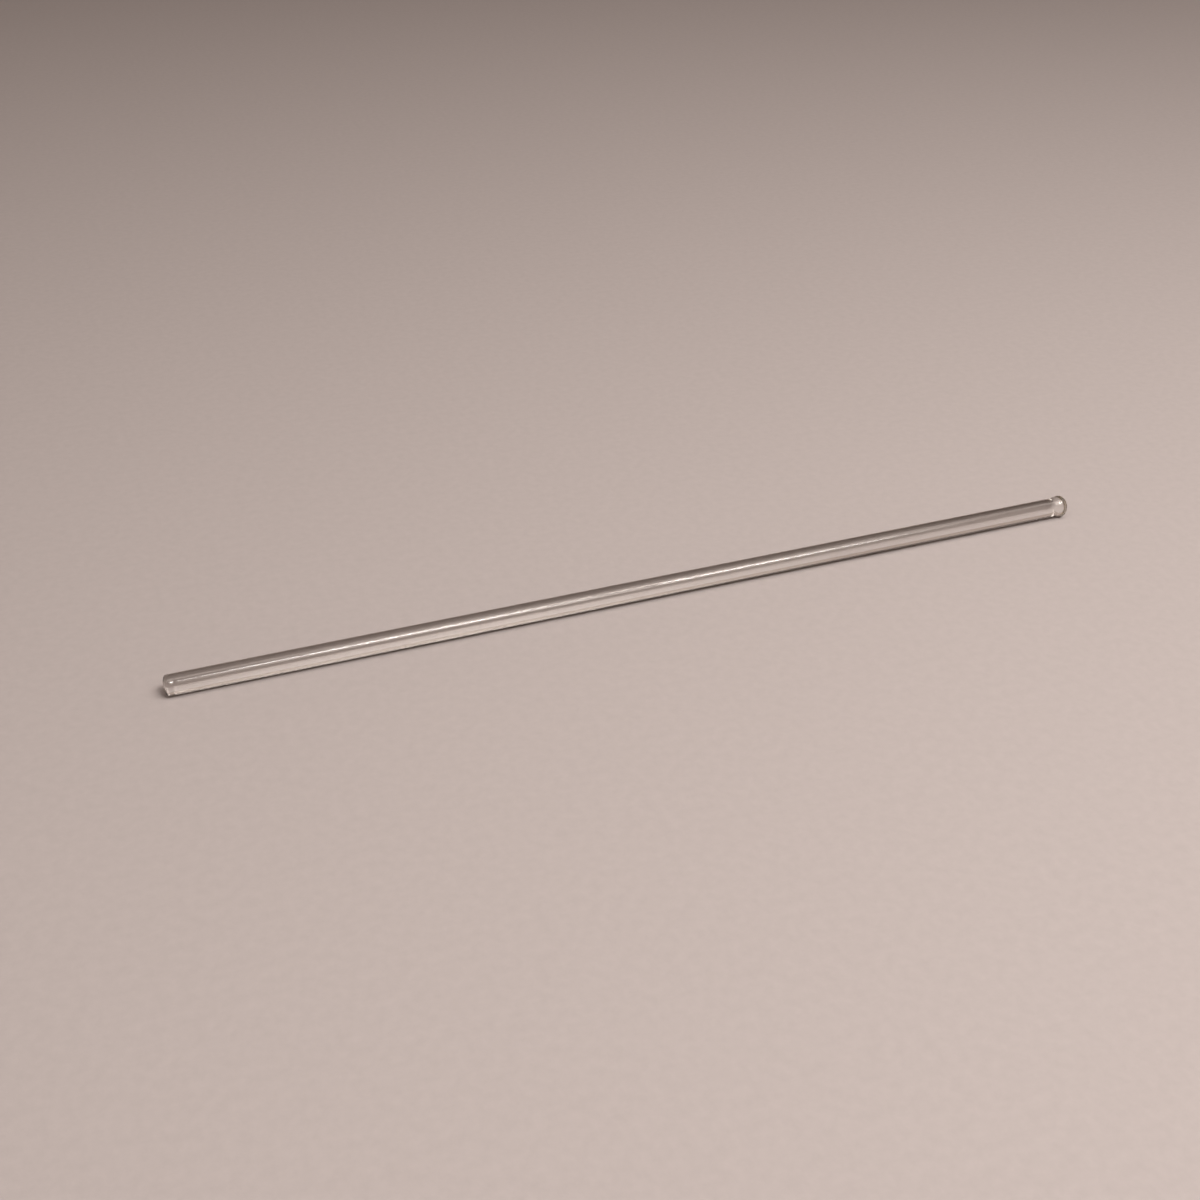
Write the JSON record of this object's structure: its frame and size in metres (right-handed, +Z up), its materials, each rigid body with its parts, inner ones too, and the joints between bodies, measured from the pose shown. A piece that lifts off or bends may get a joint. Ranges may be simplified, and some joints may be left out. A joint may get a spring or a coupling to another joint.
{
  "type": "glass stirring rod",
  "caption": "Straight solid glass rod with a plain rounded end and a slightly swollen round end, for stirring and guiding liquids.",
  "frame": {"origin": "on the rod's axis, half-way along its overall length", "axes": "+X along the axis from the plain end towards the bead; +Z up with the rod lying level"},
  "size_m": [0.305, 0.0072, 0.0072],
  "materials": {
    "glass": "clear drawn glass with fire-polished ends, faint draw lines and light handling marks"
  },
  "bodies": {
    "root": {"rod": "glass"}
  },
  "joints": []
}
